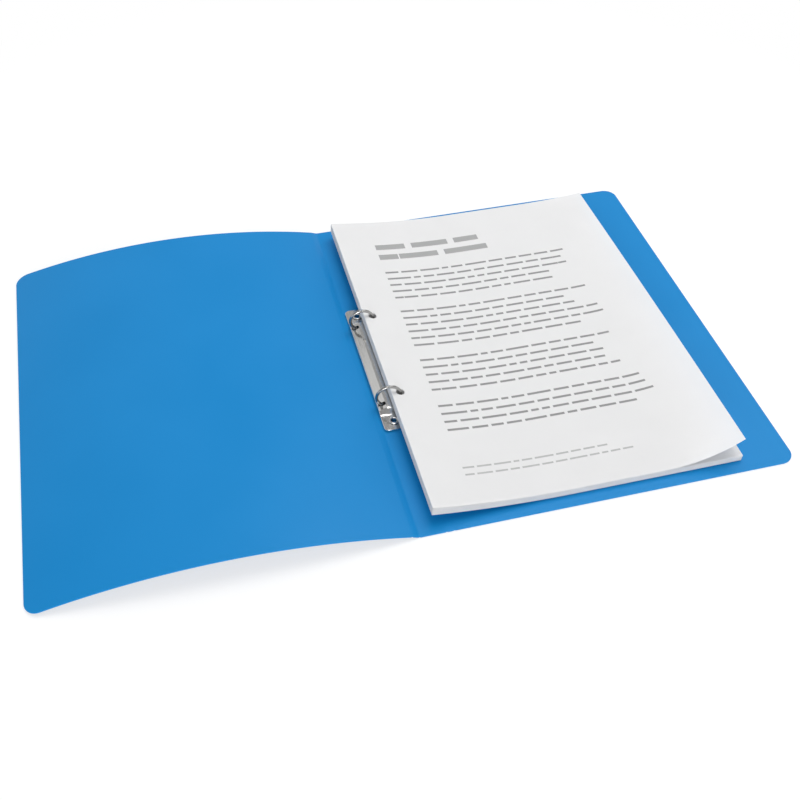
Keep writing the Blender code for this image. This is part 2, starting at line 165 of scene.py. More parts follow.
# Top page: its curl, and how far upwards a face looks that shows its bars
CURL_REACH = 0.053
CURL_BOTTOM = 0.0161
CURL_TOP = 0.0027
PAGE_STEPS = 24
FLAT_STEPS = 4
HALF_ROWS = 16
LOOKING_UP = 0.5

# Bars on the page: least share of a line that is filled, gap between words, and the lines' chance seed
LEAST_LINE = 0.82
WORD_GAP = 0.09
LINE_SEED = 100

# Tint of nickel
NICKEL_TINT = (1.0, 0.993, 0.972)

# Floor: half width, depth below the binder, greys, glow, and where its shadow fades out
FLOOR_REACH = 20.0
FLOOR_DROP = 0.0001
FLOOR_GREY = 0.85
SHADOW_GREY = 0.40
FLOOR_GLOW = 0.64
SHADOW_FADE = (0.30, 0.60)

# Room: tint, and brightness by the sine of the height above the floor
ROOM_TINT = (0.985, 0.993, 1.0)
ROOM = ((0.0, 1.0), (0.24, 1.0), (0.5, 0.52), (0.72, 0.38), (1.0, 0.34))

# Lights: name, place, side of the square in metres and power in watts
LIGHTS = (
    ("key", (0.36, 0.24, 1.35), 1.0, 9.9),
    ("front_fill", (-0.2, -1.5, 0.34), 0.6, 9.0),
    ("right_fill", (1.0, 0.62, 1.3), 0.7, 2.4),
    ("left_fill", (-0.41, 0.80, 1.07), 0.65, 0.42),
)

# Camera: where it looks, its place about that point, and its lens and sensor in millimetres
CAMERA_TARGET = (0.00947, -0.04029, 0.0)
CAMERA_AZIMUTH = math.radians(-14.88)
CAMERA_ELEVATION = math.radians(45.14)
CAMERA_ROLL = math.radians(0.493)
CAMERA_DISTANCE = 0.7557
CAMERA_LENS = 49.69
CAMERA_SENSOR = 36.0
CAMERA_CLIP = (0.01, 50.0)


def shape_object(name, bm, paint, body=None, nodes=(), sharp=None):
    """A smooth-shaded piece from a bmesh, sharp past an angle in degrees, for CAD nodes on a body."""
    bmesh.ops.recalc_face_normals(bm, faces=bm.faces)
    mesh = bpy.data.meshes.new(name)
    bm.to_mesh(mesh)
    bm.free()
    mesh.polygons.foreach_set("use_smooth", [True] * len(mesh.polygons))
    if sharp is not None:
        mesh.set_sharp_from_angle(angle=math.radians(sharp))
    mesh.materials.append(paint)
    obj = bpy.data.objects.new(name, mesh)
    bpy.context.collection.objects.link(obj)
    if nodes:
        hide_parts(*nodes)
    if body:
        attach(obj, body)
    return obj


def lofted(rings, closed=False):
    """A solid skinned over rings of points: capped at both ends, or closed into a loop."""
    bm = bmesh.new()
    rows = [[bm.verts.new(point) for point in ring] for ring in rings]
    pairs = list(zip(rows, rows[1:]))
    if closed:
        pairs.append((rows[-1], rows[0]))
    for low, high in pairs:
        for i in range(len(low)):
            j = (i + 1) % len(low)
            bm.faces.new((low[i], low[j], high[j], high[i]))
    if not closed:
        bm.faces.new(rows[0][::-1])
        bm.faces.new(rows[-1])
    return bm


def circle(radius, z, centre=(0.0, 0.0), sides=48):
    """A ring of points level at z."""
    turns = [2 * math.pi * i / sides for i in range(sides)]
    return [Vector((centre[0] + radius * math.cos(a), centre[1] + radius * math.sin(a), z)) for a in turns]


def box(low, high):
    """A box between two corners."""
    ring = [(low[0], low[1]), (high[0], low[1]), (high[0], high[1]), (low[0], high[1])]
    return lofted([[Vector((x, y, z)) for x, y in ring] for z in (low[2], high[2])])


def carve(bm, tools, operation="DIFFERENCE"):
    """A bmesh with tool bodies cut out of it, or joined to it."""
    meshes = []
    for part in [bm] + tools:
        bmesh.ops.recalc_face_normals(part, faces=part.faces)
        mesh = bpy.data.meshes.new("carve")
        part.to_mesh(mesh)
        part.free()
        meshes.append(mesh)
    objects = [bpy.data.objects.new("carve", mesh) for mesh in meshes]
    for obj in objects:
        bpy.context.collection.objects.link(obj)
    for obj in objects[1:]:
        step = objects[0].modifiers.new("carve", "BOOLEAN")
        step.operation = operation
        step.solver = "EXACT"
        step.object = obj
    graph = bpy.context.evaluated_depsgraph_get()
    result = bmesh.new()
    made = bpy.data.meshes.new_from_object(objects[0].evaluated_get(graph))
    result.from_mesh(made)
    bpy.data.meshes.remove(made)
    for obj, mesh in zip(objects, meshes):
        bpy.data.objects.remove(obj)
        bpy.data.meshes.remove(mesh)
    return result


class Paint:
    """A node material with noise for its detail."""

    def __init__(self, name, metallic=0.0, specular=0.5):
        self.material = bpy.data.materials.new(name)
        self.material.use_nodes = True
        self.tree = self.material.node_tree
        self.shader = self.tree.nodes["Principled BSDF"]
        self.shader.inputs["Metallic"].default_value = metallic
        self.shader.inputs["Specular IOR Level"].default_value = specular
        self.place = self.tree.nodes.new("ShaderNodeTexCoord").outputs["Object"]

    def noise(self, scale, detail=3.0, stretch=None):
        """Noise over the object, in features per metre, drawn out along an axis where asked."""
        node = self.tree.nodes.new("ShaderNodeTexNoise")
        node.inputs["Scale"].default_value = scale
        node.inputs["Detail"].default_value = detail
        place = self.place
        if stretch:
            mapping = self.tree.nodes.new("ShaderNodeMapping")
            mapping.inputs["Scale"].default_value = stretch
            self.tree.links.new(place, mapping.inputs["Vector"])
            place = mapping.outputs["Vector"]
        self.tree.links.new(place, node.inputs["Vector"])
        return node.outputs["Fac"]

    def span(self, value, low, high, start=0.3, end=0.7):
        """A value spread over a range."""
        node = self.tree.nodes.new("ShaderNodeMapRange")
        for name, number in (("From Min", start), ("From Max", end), ("To Min", low), ("To Max", high)):
            node.inputs[name].default_value = number
        self.tree.links.new(value, node.inputs["Value"])
        return node.outputs["Result"]

    def combine(self, operation, a, b):
        """Two values through a Math node."""
        node = self.tree.nodes.new("ShaderNodeMath")
        node.operation = operation
        self.tree.links.new(a, node.inputs[0])
        self.tree.links.new(b, node.inputs[1])
        return node.outputs["Value"]

    def number(self, operation, value, number=0.0, first=False):
        """A value and a number through a Math node, the number first where asked."""
        node = self.tree.nodes.new("ShaderNodeMath")
        node.operation = operation
        self.tree.links.new(value, node.inputs[1 if first else 0])
        node.inputs[0 if first else 1].default_value = number
        return node.outputs["Value"]

    def bars(self, left, right, top, lines, pitch, tall, word):
        """Rows of plain bars, broken into lengths like words, with a ragged right end."""
        split = self.tree.nodes.new("ShaderNodeSeparateXYZ")
        self.tree.links.new(self.place, split.inputs["Vector"])
        x = self.number("SUBTRACT", split.outputs["X"], left)
        drop = self.number("DIVIDE", self.number("SUBTRACT", split.outputs["Y"], top, True), pitch)
        line = self.number("FLOOR", drop)
        chance = self.tree.nodes.new("ShaderNodeTexWhiteNoise")
        chance.noise_dimensions = "1D"
        self.tree.links.new(self.number("ADD", line, LINE_SEED * top), chance.inputs["W"])
        end = self.span(chance.outputs["Value"], LEAST_LINE * (right - left), right - left, 0.0, 1.0)
        words = self.tree.nodes.new("ShaderNodeTexVoronoi")
        words.voronoi_dimensions = "1D"
        words.feature = "DISTANCE_TO_EDGE"
        words.inputs["Scale"].default_value = 1 / word
        self.tree.links.new(self.combine("ADD", x, line), words.inputs["W"])
        marks = self.number("GREATER_THAN", words.outputs["Distance"], WORD_GAP)
        rest = self.combine("SUBTRACT", end, x)
        for edge in (x, rest):
            marks = self.combine("MAXIMUM", marks, self.number("LESS_THAN", edge, word / 2))
        for test in (self.number("GREATER_THAN", x), self.number("GREATER_THAN", rest),
                     self.number("GREATER_THAN", drop), self.number("LESS_THAN", drop, lines),
                     self.number("LESS_THAN", self.number("FRACT", drop), tall / pitch)):
            marks = self.combine("MULTIPLY", marks, test)
        return marks

    def mix(self, share, under, over):
        """A plain colour laid over another one."""
        node = self.tree.nodes.new("ShaderNodeMix")
        node.data_type = "RGBA"
        self.tree.links.new(share, node.inputs["Factor"])
        self.tree.links.new(under, node.inputs["A"])
        node.inputs["B"].default_value = (*over, 1.0)
        return node.outputs["Result"]

    def ramp(self, value, stops):
        """Colours along a value."""
        node = self.tree.nodes.new("ShaderNodeValToRGB")
        elements = node.color_ramp.elements
        while len(elements) < len(stops):
            elements.new(0.5)
        for element, (position, colour) in zip(elements, stops):
            element.position = position
            element.color = (*colour, 1.0)
        self.tree.links.new(value, node.inputs["Fac"])
        return node.outputs["Color"]

    def bump(self, value, strength, distance, under=None):
        """A bump of a real depth, over another bump where there is one."""
        node = self.tree.nodes.new("ShaderNodeBump")
        node.inputs["Strength"].default_value = strength
        node.inputs["Distance"].default_value = distance
        self.tree.links.new(value, node.inputs["Height"])
        if under:
            self.tree.links.new(under, node.inputs["Normal"])
        return node.outputs["Normal"]

    def wire(self, colour, roughness, normal):
        """The material, with finished values linked to its shader."""
        for name, value in (("Base Color", colour), ("Roughness", roughness), ("Normal", normal)):
            self.tree.links.new(value, self.shader.inputs[name])
        return self.material


def polypropylene():
    """Satin blue sheet: faint cloudiness, a fine moulded grain and light scuffs."""
    paint = Paint("blue_polypropylene", specular=0.18)
    cloud = paint.noise(scale=14.0, detail=2.0)
    colour = paint.ramp(cloud, [(0.3, (0.005, 0.236, 0.588)), (0.7, (0.007, 0.246, 0.608))])
    scuffs = paint.noise(scale=60.0, detail=4.0, stretch=(14.0, 0.5, 1.0))
    worn = paint.span(scuffs, low=0.0, high=0.10, start=0.60, end=0.80)
    rough = paint.combine("ADD", paint.span(cloud, low=0.33, high=0.38), worn)
    grain = paint.bump(paint.noise(scale=2600.0, detail=2.0), strength=0.12, distance=0.00004)
    waves = paint.noise(scale=45.0, detail=1.0)
    return paint.wire(colour, rough, paint.bump(waves, strength=0.15, distance=0.0002, under=grain))


def shade(value):
    """The warm grey of nickel at a brightness."""
    return tuple(value * tint for tint in NICKEL_TINT)


def nickel(name, shine):
    """Nickel plate with fine rubbing marks."""
    paint = Paint(name, metallic=1.0)
    marks = paint.noise(scale=900.0, detail=3.0, stretch=(1.0, 0.15, 1.0))
    colour = paint.ramp(marks, [(0.3, shade(0.94 * shine)), (0.7, shade(1.06 * shine))])
    rough = paint.span(marks, low=0.09, high=0.17)
    return paint.wire(colour, rough, paint.bump(marks, strength=0.10, distance=0.00003))


def blade_steel():
    """Plain strip steel, rolled along its length."""
    paint = Paint("blade_steel", metallic=1.0)
    lines = paint.noise(scale=1500.0, detail=3.0, stretch=(1.0, 0.04, 1.0))
    colour = paint.ramp(lines, [(0.3, (0.40, 0.40, 0.40)), (0.7, (0.55, 0.55, 0.55))])
    rough = paint.span(lines, low=0.28, high=0.42)
    return paint.wire(colour, rough, paint.bump(lines, strength=0.2, distance=0.00003))


def lacquer():
    """Blue lacquer with a slight orange peel."""
    paint = Paint("blue_lacquer")
    peel = paint.noise(scale=1400.0, detail=2.0)
    colour = paint.ramp(peel, [(0.3, (0.001, 0.17, 0.47)), (0.7, (0.002, 0.20, 0.53))])
    rough = paint.span(peel, low=0.24, high=0.32)
    return paint.wire(colour, rough, paint.bump(peel, strength=0.15, distance=0.00004))


def paper(name, blocks=()):
    """White office paper with a fibre texture, and blocks of plain bars in place of print."""
    paint = Paint(name, specular=0.2)
    fibre = paint.noise(scale=2200.0, detail=4.0)
    cloud = paint.noise(scale=30.0, detail=2.0)
    colour = paint.ramp(cloud, [(0.3, (0.845, 0.842, 0.845)), (0.7, (0.862, 0.859, 0.862))])
    for ink, block in blocks:
        colour = paint.mix(paint.bars(*block), colour, (ink, ink, ink))
    paint.shader.inputs["Subsurface Weight"].default_value = 0.6
    paint.shader.inputs["Subsurface Radius"].default_value = (1.0, 1.0, 1.0)
    paint.shader.inputs["Subsurface Scale"].default_value = 0.0003
    rough = paint.span(fibre, low=0.78, high=0.92)
    return paint.wire(colour, rough, paint.bump(fibre, strength=0.25, distance=0.00004))


# Blocks of bars on the page: ink, then left, right and top, lines, pitch, height and word length
PAGE_BARS = (
    (0.40, (0.030, 0.125, 0.118, 2, 0.0125, 0.0062, 0.030)),
    (0.30, (0.030, 0.180, 0.084, 5, 0.0075, 0.0019, 0.013)),
    (0.30, (0.030, 0.180, 0.038, 6, 0.0075, 0.0019, 0.013)),
    (0.30, (0.030, 0.180, -0.0155, 5, 0.0075, 0.0019, 0.013)),
    (0.30, (0.030, 0.180, -0.0615, 4, 0.0075, 0.0019, 0.013)),
    (0.50, (0.030, 0.150, -0.118, 2, 0.0060, 0.0014, 0.010)),
)

BLUE = polypropylene()
NICKEL = nickel("bright_nickel", 0.70)
# Painted shade: the ring wire is the plate's nickel made darker (0.36 against 0.70), standing in for the
# wire's dark, shaded look
WIRE_NICKEL_PAINTED_SHADE = nickel("nickel_wire_painted_shade", 0.36)
STEEL = blade_steel()
LACQUER = lacquer()
WHITE = paper("white_paper")
PAGE = paper("page_paper", PAGE_BARS)


def rim_levels():
    """Inset and depth down the sheet's rounded edge, from the inner face to the outer one."""
    turns = [math.pi / 2 * i / EDGE_STEPS for i in range(EDGE_STEPS + 1)]
    upper = [(EDGE * (1 - math.sin(t)), EDGE * (1 - math.cos(t))) for t in turns]
    return upper + [(inset, SHEET - depth) for inset, depth in reversed(upper)]


def corner_stations(inset):
    """Places along a cover and its half heights there, round its free corners."""
    turns = [math.pi / 2 * i / CORNER_STEPS for i in range(CORNER_STEPS + 1)]
    radius = COVER_CORNER - inset
    along = COVER_WIDTH - COVER_CORNER
    half = HALF_HEIGHT - COVER_CORNER
    return [(along + radius * math.sin(t), half + radius * math.cos(t)) for t in turns]


def cover_sheet(stations, curve, free_end=False, groove=None):
    """A stretch of the cover sheet along a curve of (point, normal), with rounded edges."""
    bm = bmesh.new()
    grid = []
    for inset, depth in rim_levels():
        places = [(along, HALF_HEIGHT - inset) for along in stations]
        if free_end:
            places += corner_stations(inset)
        row = []
        for along, half in places:
            (x, z), (nx, nz) = curve(along)
            down = depth
            if groove and depth > SHEET / 2:
                down -= groove(along)
            row.append([bm.verts.new((x - nx * down, side * half, z - nz * down)) for side in (1, -1)])
        grid.append(row)
    faces = set()
    for row in (grid[0], grid[-1]):
        for a, b in zip(row, row[1:]):
            faces.add(bm.faces.new((a[0], b[0], b[1], a[1])))
    for low, high in zip(grid, grid[1:]):
        for i in range(len(low) - 1):
            for side in (0, 1):
                bm.faces.new((low[i][side], low[i + 1][side], high[i + 1][side], high[i][side]))
        if free_end:
            bm.faces.new((low[-1][0], low[-1][1], high[-1][1], high[-1][0]))
    ends = [0] if free_end else [0, -1]
    for end in ends:
        bm.faces.new([row[end][0] for row in grid] + [row[end][1] for row in reversed(grid)])
    for edge in bm.edges:
        if len(set(face in faces for face in edge.link_faces)) == 2:
            edge.smooth = False
    return bm


def bow_curve(along):
    """The bowed front cover's inner face in the part's frame, with its normal."""
    half_turn = COVER_WIDTH / (2 * BOW_RADIUS)
    slope = half_turn - along / BOW_RADIUS
    x = -BOW_RADIUS * (math.sin(half_turn) - math.sin(slope))
    z = BOW_RADIUS * (math.cos(slope) - math.cos(half_turn))
    cos, sin = math.cos(CHORD_DIP), math.sin(CHORD_DIP)
    nx, nz = math.sin(slope), math.cos(slope)
    place = (FRONT_CREASE[0] + x * cos - z * sin, FRONT_CREASE[1] + x * sin + z * cos)
    return place, (nx * cos - nz * sin, nx * sin + nz * cos)


def chord_dip():
    """How far the arch's chord dips so that the free edge lies on the ground."""
    half_turn = COVER_WIDTH / (2 * BOW_RADIUS)
    run = 2 * BOW_RADIUS * math.sin(half_turn) - SHEET * math.sin(half_turn)
    drop = SHEET * math.cos(half_turn)
    return math.asin(FRONT_CREASE[1] / math.hypot(run, drop)) - math.atan2(drop, run)


FRONT_CREASE = (-HALF_SPINE - CREASE_STRIP * math.cos(STRIP_RISE),
                SHEET + CREASE_STRIP * math.sin(STRIP_RISE))
CHORD_DIP = chord_dip()


def strip_curve(along):
    """The front crease strip's inner face, from the spine's crease outwards."""
    place = (-HALF_SPINE - along * math.cos(STRIP_RISE), SHEET + along * math.sin(STRIP_RISE))
    return place, (math.sin(STRIP_RISE), math.cos(STRIP_RISE))


def flat_curve(x):
    """The flat part of the sheet, by x."""
    return (x, SHEET), (0.0, 1.0)


def crease_groove(share):
    """Depth of the groove pressed into the outside of a crease, across its width."""
    return CREASE_GROOVE * math.sin(math.pi * min(max(share, 0.0), 1.0)) ** 2


def crease_web(name, start, crease, end):
    """The sheet across a crease, from a point before it to a point after it."""
    def curve(t):
        first, second = crease - start, end - crease
        place = start + 2 * t * (1 - t) * first + t * t * (end - start)
        tangent = ((1 - t) * first + t * second).normalized()
        return (place.x, place.y), (-tangent.y, tangent.x)

    stations = [i / CREASE_STEPS for i in range(CREASE_STEPS + 1)]
    web = shape_object(name, cover_sheet(stations, curve, groove=crease_groove), BLUE)
    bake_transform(web)


def make_cover():
    """The creased sheet: five stretches and the creases between them."""
    straight = COVER_WIDTH - COVER_CORNER
    back_crease = HALF_SPINE + CREASE_STRIP

    def back_curve(along):
        return flat_curve(back_crease + along)

    def span(start, end, steps):
        return [start + (end - start) * i / steps for i in range(steps)]

    back = cover_sheet(span(CREASE_HALF, straight, BACK_STEPS), back_curve, True)
    shape_object("back_cover_sheet", back, BLUE, "back_cover", ["back_cover"])
    bowed = cover_sheet(span(CREASE_HALF, straight, BOW_STEPS), bow_curve, True)
    shape_object("front_cover_sheet", bowed, BLUE, "front_cover", ["front_cover"])
    strip_ends = [CREASE_HALF, CREASE_STRIP - CREASE_HALF]
    strip = cover_sheet(strip_ends, strip_curve)
    shape_object("front_strip_sheet", strip, BLUE, "front_strip", ["front_crease_strip"])
    make_spine(back_crease)
    low = Vector((back_crease - CREASE_HALF, SHEET))
    crease_web("back_crease", low, Vector((back_crease, SHEET)), low + Vector((2 * CREASE_HALF, 0.0)))
    crease_web("spine_crease", Vector(strip_curve(CREASE_HALF)[0]), Vector((-HALF_SPINE, SHEET)),
               Vector((CREASE_HALF - HALF_SPINE, SHEET)))
    crease_web("front_crease", Vector(bow_curve(CREASE_HALF)[0]), Vector(FRONT_CREASE),
               Vector(strip_curve(CREASE_STRIP - CREASE_HALF)[0]))


def make_spine(back_crease):
    """The spine and the back crease strip, punched for the rivets."""
    groove_start = HALF_SPINE - CREASE_HALF
    stations = [CREASE_HALF - HALF_SPINE]
    stations += [groove_start + 2 * CREASE_HALF * i / CREASE_STEPS for i in range(CREASE_STEPS + 1)]
    stations.append(back_crease - CREASE_HALF)

    def groove(x):
        return crease_groove((x - groove_start) / (2 * CREASE_HALF))

    recess_top = CAP_THICKNESS + SEAT
    profile = [(CAP_RADIUS + SEAT, -THROUGH), (CAP_RADIUS + SEAT, recess_top),
               (EYELET_RADIUS + SEAT, recess_top), (EYELET_RADIUS + SEAT, SHEET + THROUGH)]
    tools = []
    for y in RIVET_YS.values():
        tools.append(lofted([circle(radius, z, (0.0, y)) for radius, z in profile]))
    spine = carve(cover_sheet(stations, flat_curve, groove=groove), tools)
    nodes = ["spine_panel", "back_crease_strip"]
    shape_object("spine_sheet", spine, BLUE, "spine", nodes, sharp=10)


def fillet(points, radii, steps=6):
    """A line of (x, z) points with its inner corners rounded."""
    line = [Vector(points[0])]
    for before, corner, after, radius in zip(points, points[1:], points[2:], radii):
        corner = Vector(corner)
        to_before = Vector(before) - corner
        to_after = Vector(after) - corner
        turn = math.pi - to_before.angle(to_after)
        reach = radius * math.tan(turn / 2)
        first = corner + to_before.normalized() * reach
        last = corner + to_after.normalized() * reach
        for i in range(steps + 1):
            t = i / steps
            line.append((1 - t) ** 2 * first + 2 * t * (1 - t) * corner + t * t * last)
    line.append(Vector(points[-1]))
    return line


def plate_section(y, inset, foot):
    """The plate's section at y, drawn in by inset, its flat ridge falling to a land at each end."""
    fall = min(max((abs(y) - RAMP_START) / PLATE_RAMP, 0.0), 1.0)
    fall = fall * fall * (3 - 2 * fall)
    shoulder = PLATE_SHOULDER + (LAND_TOP - PLATE_SHOULDER) * fall - inset
    ridge = PLATE_TOP + (LAND_TOP - PLATE_TOP) * fall - inset
    radius = END_CORNER - inset
    past = abs(y) - (PLATE_HALF - END_CORNER)
    half = PLATE_HALF_WIDTH - inset
    if past > 0:
        half += math.sqrt(max(radius ** 2 - past ** 2, 0.0)) - radius
    right = [(min(PLATE_FLAT, half) / 2, ridge), (half, shoulder), (half, foot)]
    rounds = (SHOULDER_ROUND, RIDGE_ROUND, RIDGE_ROUND, SHOULDER_ROUND)
    line = fillet([(-x, z) for x, z in reversed(right)] + right, rounds)
    quarter = len(line) // 4
    crown = PLATE_CROWN * (ridge - shoulder) / (PLATE_TOP - PLATE_SHOULDER)
    line = crowned(line, 3 * quarter, crown)
    line = crowned(line, quarter, crown)
    return [Vector((p.x, MECHANISM_Y + y, p.y)) for p in line]


def crowned(line, index, crown, steps=8):
    """A line of points whose stretch up to a point is swelled upwards into an arc."""
    start, end = line[index - 1], line[index]
    arc = []
    for i in range(1, steps):
        t = i / steps
        arc.append(start.lerp(end, t) + Vector((0.0, 4 * crown * t * (1 - t))))
    return line[:index] + arc + line[index:]


def plate_stations(inset):
    """Places along the plate where its section changes."""
    half = [RAMP_START + PLATE_RAMP * i / RAMP_STEPS for i in range(RAMP_STEPS + 1)]
    radius = END_CORNER - inset
    turns = [math.pi / 2 * i / END_STEPS for i in range(END_STEPS + 1)]
    half += [PLATE_HALF - END_CORNER + radius * math.sin(t) for t in turns]
    return [-y for y in reversed(half)] + half


def make_plate():
    """The plate: a hollow ridged cap with in-turned lips, ring notches and rivet holes."""
    plate = lofted([plate_section(y, 0.0, PLATE_FOOT) for y in plate_stations(0.0)])
    under = PLATE_FOOT - THROUGH
    hollow = lofted([plate_section(y, PLATE_STEEL, under) for y in plate_stations(PLATE_STEEL)])
    plate = carve(plate, [hollow])
    wall = PLATE_HALF_WIDTH - PLATE_STEEL
    lips = []
    for side in (-1, 1):
        edges = sorted((side * (wall - LIP_WIDTH), side * (wall + PLATE_STEEL / 2)))
        lips.append(box((edges[0], MECHANISM_Y - LIP_HALF, PLATE_FOOT + LIP_STEP),
                        (edges[1], MECHANISM_Y + LIP_HALF, PLATE_FOOT + PLATE_STEEL)))
    plate = carve(plate, lips, "UNION")
    tools = []
    near = FOOT_X - WIRE_RADIUS - NOTCH_PLAY
    far = wall - NOTCH_EDGE
    wide = WIRE_RADIUS + NOTCH_PLAY
    for y in RING_YS.values():
        for low, high in ((near, far), (-far, -near)):
            ring = [(low, y - wide), (high, y - wide), (high, y + wide), (low, y + wide)]
            levels = (PLATE_FOOT + PLATE_STEEL + SEAT, PLATE_TOP + THROUGH)
            tools.append(lofted([rounded(ring, NOTCH_CORNER, z) for z in levels]))
    for y in RIVET_YS.values():
        levels = (PLATE_FOOT - THROUGH, LAND_TOP + THROUGH)
        tools.append(lofted([circle(EYELET_RADIUS + SEAT, z, (0.0, y)) for z in levels]))
    shape_object("plate", carve(plate, tools), NICKEL, "spine", ["ring_plate"], sharp=28)


def rounded(ring, radius, z, steps=5):
    """A level outline of (x, y) corners with its corners rounded."""
    points = []
    for i in range(len(ring)):
        before, corner, after = Vector(ring[i - 1]), Vector(ring[i]), Vector(ring[(i + 1) % len(ring)])
        first = corner + (before - corner).normalized() * radius
        last = corner + (after - corner).normalized() * radius
        for k in range(steps + 1):
            t = k / steps
            spot = (1 - t) ** 2 * first + 2 * t * (1 - t) * corner + t * t * last
            points.append(Vector((spot.x, spot.y, z)))
    return points


def ring_path():
    """Centre line of the right ring half, tip to tenon, as (point, radius) in the ring's plane."""
    first = math.pi / 2 - TIP_GAP / RING_RADIUS
    path = []
    for i in range(TIP_STEPS + 1):
        turn = math.pi / 2 * i / TIP_STEPS
        angle = first - TIP_ROUND * (1 - math.cos(turn)) / RING_RADIUS
        path.append((angle, WIRE_RADIUS - TIP_ROUND * (1 - math.sin(turn))))
    start = path[-1][0]
    turns = [start + (FOOT_ANGLE - start) * i / RING_STEPS for i in range(1, RING_STEPS + 1)]
    path += [(angle, WIRE_RADIUS) for angle in turns]
    line = []
    for angle, radius in path:
        spot = (RING_RADIUS * math.cos(angle), 0.0, RING_CENTRE + RING_RADIUS * math.sin(angle))
        line.append((Vector(spot), radius))
    bend_z = RING_CENTRE + FOOT_ARM * math.sin(FOOT_ANGLE)
    for i in range(1, FOOT_STEPS + 1):
        angle = FOOT_ANGLE * (1 - i / FOOT_STEPS)
        x = FOOT_X + FOOT_BEND * (1 - math.cos(angle))
        line.append((Vector((x, 0.0, bend_z - FOOT_BEND * math.sin(angle))), WIRE_RADIUS))
    shoulder = Vector((FOOT_X, 0.0, bend_z - FOOT_STRAIGHT))
    line.append((shoulder, WIRE_RADIUS))
    line.append((shoulder, TENON_RADIUS))
    line.append((shoulder - Vector((0.0, 0.0, TENON_LENGTH)), TENON_RADIUS))
    return line


def make_rings():
    """The four ring halves."""
    path = ring_path()
    for side, jaw in ((-1, "left"), (1, "right")):
        for place, y in RING_YS.items():
            rings = []
            for i, (point, radius) in enumerate(path):
                along = (path[min(i + 1, len(path) - 1)][0] - path[max(i - 1, 0)][0]).normalized()
                across = Vector((-along.z, 0.0, along.x))
                ring = []
                for k in range(WIRE_SIDES):
                    turn = 2 * math.pi * k / WIRE_SIDES
                    spot = point + radius * math.cos(turn) * across
                    ring.append(Vector((side * spot.x, y + radius * math.sin(turn), spot.z)))
                rings.append(ring)
            node = place + "_" + jaw + "_ring"
            # The wire's nickel carries painted shade: it is the plate's nickel made darker
            shape_object(node + "_wire", lofted(rings), WIRE_NICKEL_PAINTED_SHADE, jaw + "_jaw", [node], sharp=40)


def make_rivets():
    """Rolled eyelets, and the caps that close them from outside."""
    flange = LAND_TOP + SEAT
    crown = []
    middle = (EYELET_BORE + EYELET_RIM) / 2
    reach = (EYELET_RIM - EYELET_BORE) / 2
    for i in range(CROWN_STEPS + 1):
        turn = math.pi * i / CROWN_STEPS
        height = EYELET_LIP + EYELET_CROWN * math.sin(turn)
        crown.append((middle + reach * math.cos(turn), flange + height))
    eyelet = [(EYELET_BORE, EYELET_FOOT), (EYELET_RADIUS, EYELET_FOOT), (EYELET_RADIUS, flange),
              (EYELET_RIM, flange)] + crown
    cap = [(CAP_RADIUS - CAP_EDGE, 0.0), (CAP_RADIUS - CAP_BEVEL, CAP_BEVEL), (CAP_RADIUS, CAP_EDGE),
           (CAP_RADIUS, CAP_THICKNESS), (CAP_PLUG, CAP_THICKNESS), (CAP_PLUG, CAP_PLUG_TOP - CAP_EDGE),
           (CAP_PLUG - CAP_EDGE, CAP_PLUG_TOP)]
    for place, y in RIVET_YS.items():
        tube = lofted([circle(radius, z, (0.0, y)) for radius, z in eyelet], closed=True)
        shape_object(place + "_eyelet_tube", tube, NICKEL, "spine", [place + "_eyelet"], sharp=50)
        button = lofted([circle(radius, z, (0.0, y)) for radius, z in cap])
        shape_object(place + "_cap", button, LACQUER, "spine", [place + "_rivet_cap"],
                     sharp=50)


def page_share(y):
    """How far up the page a place is, from 0 at its foot to 1 at its head."""
    return (y + PAPER_HALF) / (2 * PAPER_HALF)


def face_height(level, along, y):
    """Height in the stack at a level from 0 (bottom) to 1 (top), looser towards the head of the page."""
    left = STACK_FOOT[0] + STACK_RISE[0] * level
    right = STACK_FOOT[1] + STACK_RISE[1] * level
    loose = STACK_LOOSE * level * page_share(y)
    return right + (left - right) * max(1 - along / STACK_SETTLE, 0.0) ** 2 + loose


def punch_tools():
    """The two punched holes through the whole stack, leaning with the wire."""
    (low_x, low_z), (top_x, top_z) = PUNCH_FROM, PUNCH_TO
    lean = (top_x - low_x) / (top_z - low_z)
    tools = []
    for y in RING_YS.values():
        ends = (low_z - 2 * THROUGH, top_z + 2 * THROUGH)
        tools.append(lofted([circle(PUNCH_RADIUS, z, (low_x + lean * (z - low_z), y)) for z in ends]))
    return tools


def sheet_grid(bm, columns, rows, spot, thickness):
    """A thin closed sheet: spot(column, row) gives its lower face."""
    lift = Vector((0.0, 0.0, thickness))
    low = [[bm.verts.new(spot(c, r)) for r in rows] for c in columns]
    high = [[bm.verts.new(vert.co + lift) for vert in line] for line in low]
    for side in (low, high):
        for a, b in zip(side, side[1:]):
            for i in range(len(a) - 1):
                bm.faces.new((a[i], b[i], b[i + 1], a[i + 1]))
    rim = [(c, 0) for c in range(len(columns))]
    rim += [(len(columns) - 1, r) for r in range(1, len(rows))]
    rim += [(c, len(rows) - 1) for c in range(len(columns) - 2, -1, -1)]
    rim += [(0, r) for r in range(len(rows) - 2, 0, -1)]
    for (c, r), (d, s) in zip(rim, rim[1:] + rim[:1]):
        bm.faces.new((low[c][r], low[d][s], high[d][s], high[c][r]))


